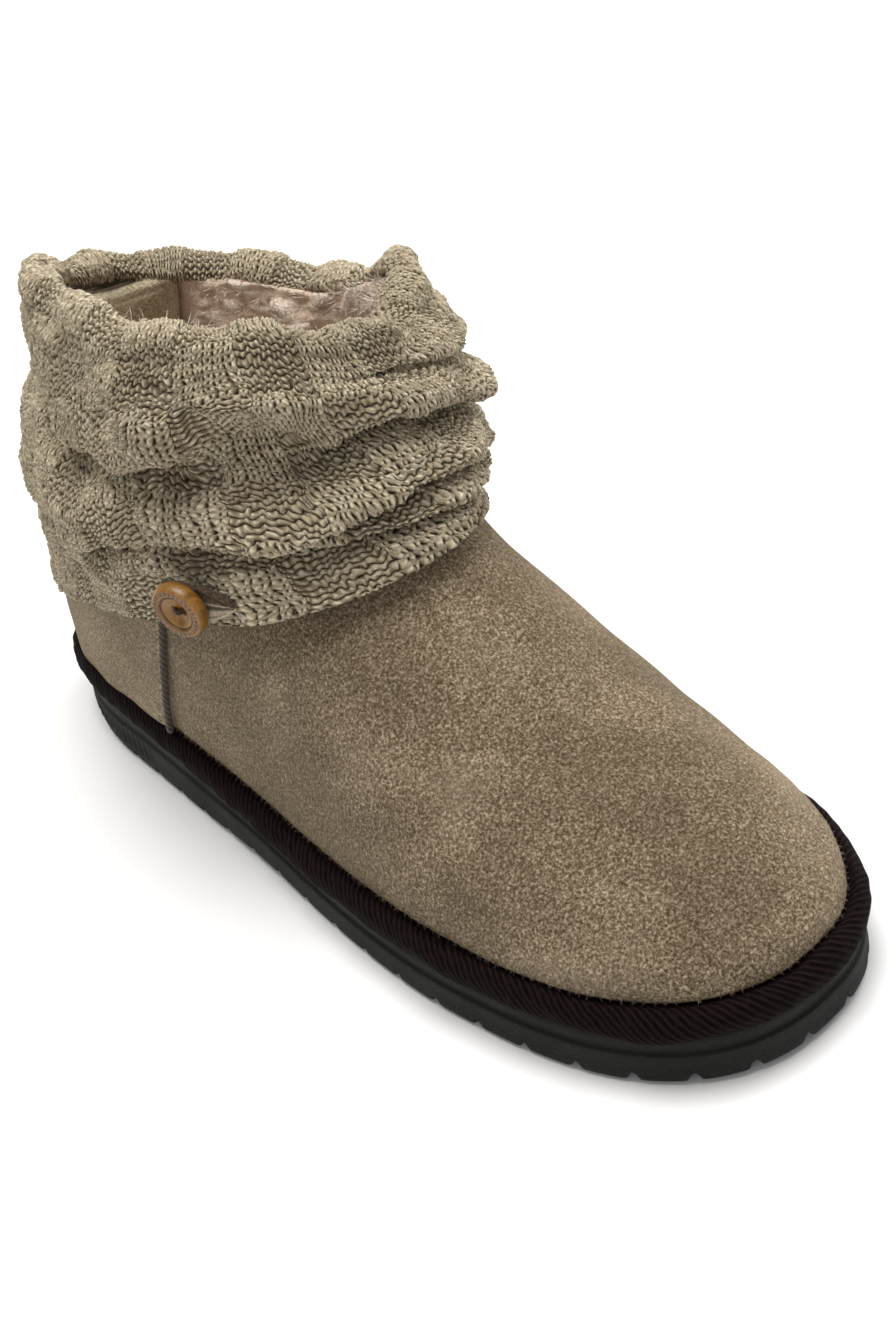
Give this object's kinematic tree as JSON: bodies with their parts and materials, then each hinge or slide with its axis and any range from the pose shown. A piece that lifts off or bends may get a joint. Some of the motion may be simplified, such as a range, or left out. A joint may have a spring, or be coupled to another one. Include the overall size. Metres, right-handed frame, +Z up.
{
  "type": "bootie slipper",
  "caption": "Right-foot bootie slipper: soft suede-look upper on a wedge rubber sole with tape-wrapped midsole, slouched knit cuff round the ankle, side button tab and fleece inside",
  "frame": {"origin": "on the ground, at the middle of the flat heel of the tread, 38 mm ahead of the back of the sole", "axes": "+Z up, -Y to the toe, +Y to the heel, -X to the outer side of the right foot, +X to its inner side"},
  "size_m": [0.1074, 0.274, 0.1507],
  "materials": {
    "charcoal_rubber": "matt moulded rubber",
    "brown_tape": "twill binding tape",
    "pink_fleece": "curly pile fleece",
    "taupe_suede": "short nap suede",
    "heel_suede": "short nap suede",
    "brown_welt": "matt welt",
    "oatmeal_knit": "chunky wool-blend knit",
    "beige_suede": "short nap suede",
    "honey_wood": "satin varnish"
  },
  "bodies": {
    "root": {"outsole": "charcoal_rubber", "wrapped_midsole": "brown_tape", "insole": "pink_fleece", "upper": "taupe_suede", "heel_counter": "heel_suede", "piping_lateral": "brown_welt", "piping_medial": "brown_welt", "knit_cuff": "oatmeal_knit", "back_facing": "beige_suede", "button_tab": "beige_suede", "button": "honey_wood"}
  },
  "joints": []
}
